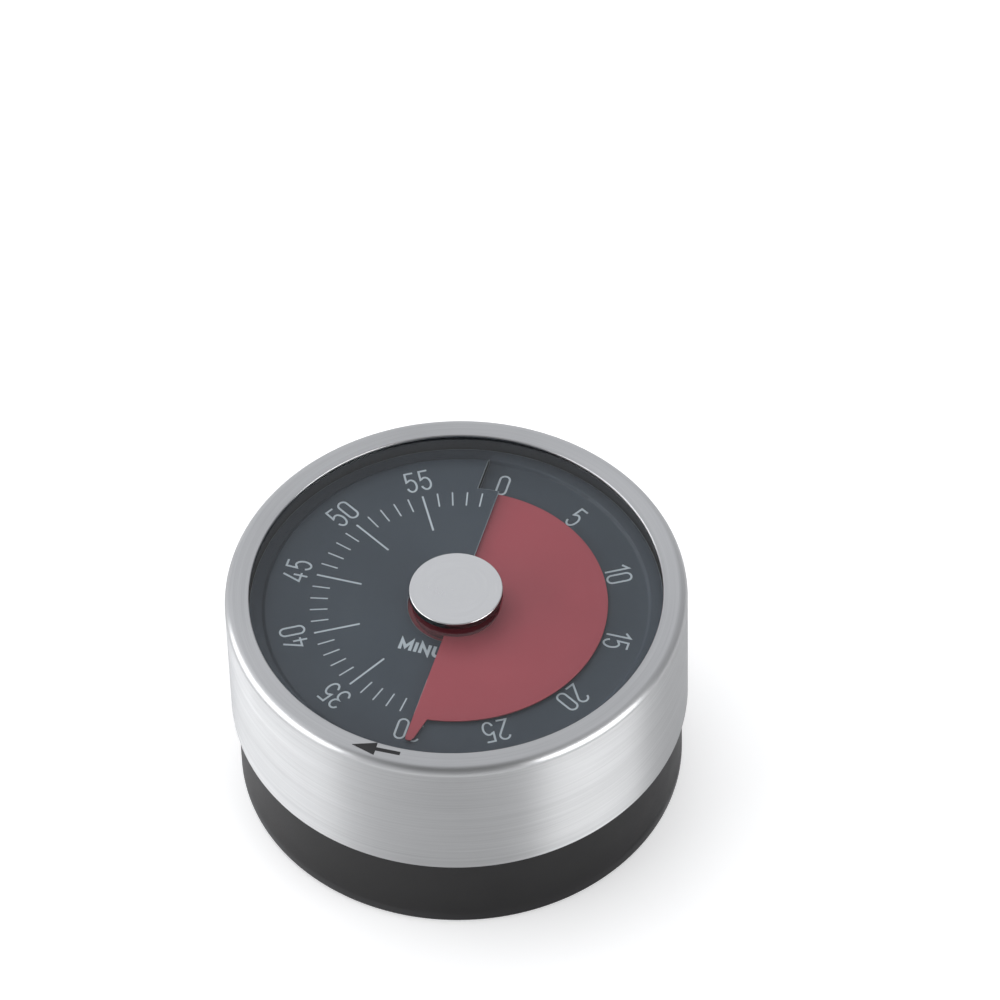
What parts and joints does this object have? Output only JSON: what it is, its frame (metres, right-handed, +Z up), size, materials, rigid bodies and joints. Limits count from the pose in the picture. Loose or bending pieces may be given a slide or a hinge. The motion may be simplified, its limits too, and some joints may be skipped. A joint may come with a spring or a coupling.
{
  "type": "kitchen timer",
  "caption": "Round mechanical visual countdown timer: black base, turning steel ring with lens and button, helical minute dial and a red disc that shrinks as time runs.",
  "frame": {"origin": "on the table, under the centre of the dial", "axes": "+Z up along the dial's axis, +Y towards the dial's 0 mark"},
  "size_m": [0.076, 0.076, 0.0417],
  "materials": {
    "foot_rubber": "soft matt black rubber",
    "magnet_metal": "plain dark nickel",
    "base_black": "fine matt moulded black",
    "movement_steel": "plain stamped steel",
    "screw_steel": "dark plated steel",
    "bell_metal": "bright plated bell steel",
    "spring_steel": "blued spring steel",
    "movement_brass": "stamped brass",
    "dial_grey": "satin blue-grey with printed marks",
    "disc_red": "satin deep red",
    "hub_black": "black moulded acetal",
    "lens_clear": "clear polished lens",
    "button_silver": "satin silver with fine sparkle",
    "liner_black": "satin black",
    "ring_steel": "satin brushed stainless steel"
  },
  "bodies": {
    "base": {"base_housing": "base_black", "foot_pad": "foot_rubber", "magnet": "magnet_metal", "back_plate": "movement_steel", "front_plate": "movement_steel", "pillar_1": "movement_steel", "pillar_2": "movement_steel", "pillar_3": "movement_steel", "pillar_screws": "screw_steel", "movement_screws": "screw_steel", "bell_gong": "bell_metal", "bell_post": "movement_steel", "bell_screw": "screw_steel", "spring_post": "movement_steel", "mainspring": "spring_steel", "hammer_spring": "spring_steel", "dial_plate": "dial_grey"},
    "knob": {"steel_ring": "ring_steel", "ring_liner": "liner_black", "lens": "lens_clear", "centre_button": "button_silver", "drive_hub": "hub_black", "main_arbor": "movement_steel", "ratchet_wheel": "movement_brass", "strike_cam": "movement_brass"},
    "disc": {"red_disc": "disc_red"},
    "main_gear": {"main_wheel": "movement_brass", "click_spring": "spring_steel"},
    "click_arm": {"click": "screw_steel"},
    "second_gear": {"second_pinion": "movement_steel", "second_wheel": "movement_brass"},
    "third_gear": {"third_pinion": "movement_steel", "third_wheel": "movement_brass"},
    "escape": {"escape_pinion": "movement_steel", "escape_wheel": "movement_brass"},
    "balance": {"pallet_arbor": "movement_steel", "pallet_lever": "movement_steel", "balance_bar": "movement_brass"},
    "hammer": {"hammer_arbor": "movement_steel", "hammer_feeler": "movement_steel", "hammer_arm": "movement_steel"}
  },
  "joints": [
    {"name": "set_turn", "type": "hinge", "parent": "base", "child": "knob", "pos_m": [0, 0, 0.02], "axis": [0, 0, -1], "range_deg": [-180, 180], "deforming": ["mainspring"]},
    {"name": "disc_lift", "type": "slide", "parent": "knob", "child": "disc", "axis": [0, 0, 1], "range_m": [-0.00091, 0.00091]},
    {"name": "main_wheel_turn", "type": "hinge", "parent": "base", "child": "main_gear", "pos_m": [0, 0, 0.02], "axis": [0, 0, -1], "range_deg": [-181, 181]},
    {"name": "second_turn", "type": "hinge", "parent": "base", "child": "second_gear", "pos_m": [0.01575, 0, 0.02], "axis": [0, 0, -1], "range_deg": [-1081, 1081]},
    {"name": "third_turn", "type": "hinge", "parent": "base", "child": "third_gear", "pos_m": [0.0103, 0.01289, 0.02], "axis": [0, 0, -1], "range_deg": [-6481, 6481]},
    {"name": "escape_turn", "type": "hinge", "parent": "base", "child": "escape", "pos_m": [-0.00107, 0.01747, 0.02], "axis": [0, 0, -1], "range_deg": [-38881, 38881]},
    {"name": "pallet_swing", "type": "hinge", "parent": "base", "child": "balance", "pos_m": [-0.00909, 0.01888, 0.02], "axis": [0, 0, -1], "range_deg": [-8, 8]},
    {"name": "hammer_swing", "type": "hinge", "parent": "base", "child": "hammer", "pos_m": [-0.0075, -0.01299, 0.02], "axis": [0, 0, -1], "range_deg": [-3, 12], "stiffness_Nm_per_rad": 0.004, "deforming": ["hammer_spring"]},
    {"name": "click_swing", "type": "hinge", "parent": "main_gear", "child": "click_arm", "pos_m": [-0.009, -0.00191, 0.0218], "axis": [0, 0, 1], "range_deg": [0, 8], "stiffness_Nm_per_rad": 0.0005, "deforming": ["click_spring"]}
  ],
  "couplings": [
    {"joint": "disc_lift", "follows": "set_turn", "m_per_rad": 0.00028648},
    {"joint": "main_wheel_turn", "follows": "set_turn", "ratio": 1},
    {"joint": "second_turn", "follows": "set_turn", "ratio": -6},
    {"joint": "third_turn", "follows": "set_turn", "ratio": 36},
    {"joint": "escape_turn", "follows": "set_turn", "ratio": -216}
  ]
}
